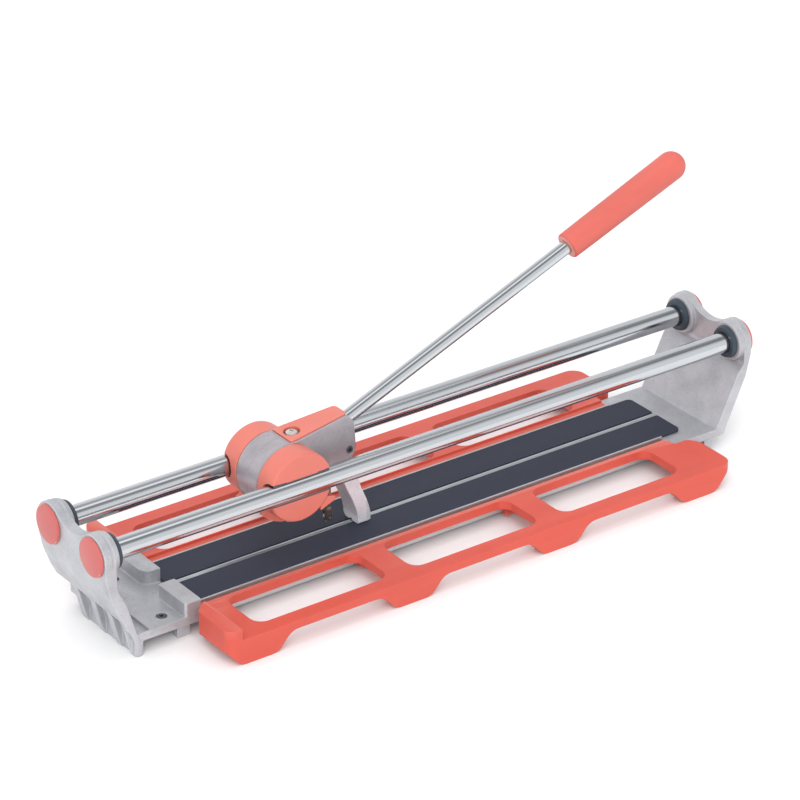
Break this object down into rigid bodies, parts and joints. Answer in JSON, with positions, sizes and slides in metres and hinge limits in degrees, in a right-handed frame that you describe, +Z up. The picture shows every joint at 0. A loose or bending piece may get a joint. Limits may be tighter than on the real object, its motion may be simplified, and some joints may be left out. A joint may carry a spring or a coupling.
{
  "type": "tile cutter",
  "caption": "Manual tile cutter: a carriage with a long lever runs on round rails between cast ends, over a rubber-topped bed with side wings.",
  "frame": {"origin": "on the floor, under the middle of the bounding box", "axes": "+X along the rails from the fence end to the far end, +Y to the back wing, +Z up"},
  "size_m": [0.668, 0.2192, 0.2703],
  "materials": {
    "orange_plastic": "moulded, satin gloss",
    "grip_plastic": "soft moulded, satin",
    "chrome": "polished chrome plate",
    "cast_aluminium": "as cast, lightly blasted",
    "grey_casting": "as cast, darker grey",
    "extruded_aluminium": "extruded, fine lines along X",
    "steel": "zinc plated",
    "black_steel": "blackened",
    "hard_metal": "ground hard metal",
    "pad_rubber": "matt, fine grain",
    "slate_plastic": "moulded, matt",
    "bronze": "sintered bearing bronze"
  },
  "bodies": {
    "frame": {"bed_profile": "extruded_aluminium", "breaking_ridge": "steel", "end_cap_far_back": "orange_plastic", "end_cap_far_front": "orange_plastic", "end_cap_stop_back": "orange_plastic", "end_cap_stop_front": "orange_plastic", "far_end_support": "cast_aluminium", "far_support_screw_back": "black_steel", "far_support_screw_front": "black_steel", "pad_back": "pad_rubber", "pad_front": "pad_rubber", "rail_back": "chrome", "rail_bolt_far_back": "steel", "rail_bolt_far_front": "steel", "rail_bolt_stop_back": "steel", "rail_bolt_stop_front": "steel", "rail_bush_far_back": "slate_plastic", "rail_bush_far_front": "slate_plastic", "rail_bush_stop_back": "slate_plastic", "rail_bush_stop_front": "slate_plastic", "rail_front": "chrome", "rail_washer_far_back": "steel", "rail_washer_far_front": "steel", "rail_washer_stop_back": "steel", "rail_washer_stop_front": "steel", "stop_end_support": "cast_aluminium", "stop_support_screw_back": "black_steel", "stop_support_screw_front": "black_steel", "wing_back": "orange_plastic", "wing_front": "orange_plastic", "wing_screw_far_back": "steel", "wing_screw_far_front": "steel", "wing_screw_stop_back": "steel", "wing_screw_stop_front": "steel"},
    "carriage": {"bridge_screw_back": "steel", "bridge_screw_front": "steel", "carriage_bridge": "cast_aluminium", "carriage_cheek_back": "orange_plastic", "carriage_cheek_front": "orange_plastic", "pivot_pin": "steel", "rail_liner_back": "slate_plastic", "rail_liner_front": "slate_plastic"},
    "lever": {"breaker": "grey_casting", "clamp_screw": "black_steel", "cover_screw": "steel", "grip": "grip_plastic", "head_cover": "orange_plastic", "lever_head": "grey_casting", "lever_rod": "chrome", "pivot_bush_back": "bronze", "pivot_bush_front": "bronze", "wheel_axle": "steel", "wheel_holder": "steel"},
    "wheel": {"scoring_wheel": "hard_metal"}
  },
  "joints": [
    {"name": "carriage_slide", "type": "slide", "parent": "frame", "child": "carriage", "axis": [1, 0, 0], "range_m": [-0.138, 0.33]},
    {"name": "lever_pivot", "type": "hinge", "parent": "carriage", "child": "lever", "pos_m": [-0.134, 0, 0.092], "axis": [0, -1, 0], "range_deg": [0, 72]},
    {"name": "wheel_spin", "type": "hinge", "parent": "lever", "child": "wheel", "pos_m": [-0.0845, 0, 0.034], "axis": [0, 1, 0], "continuous": true}
  ]
}
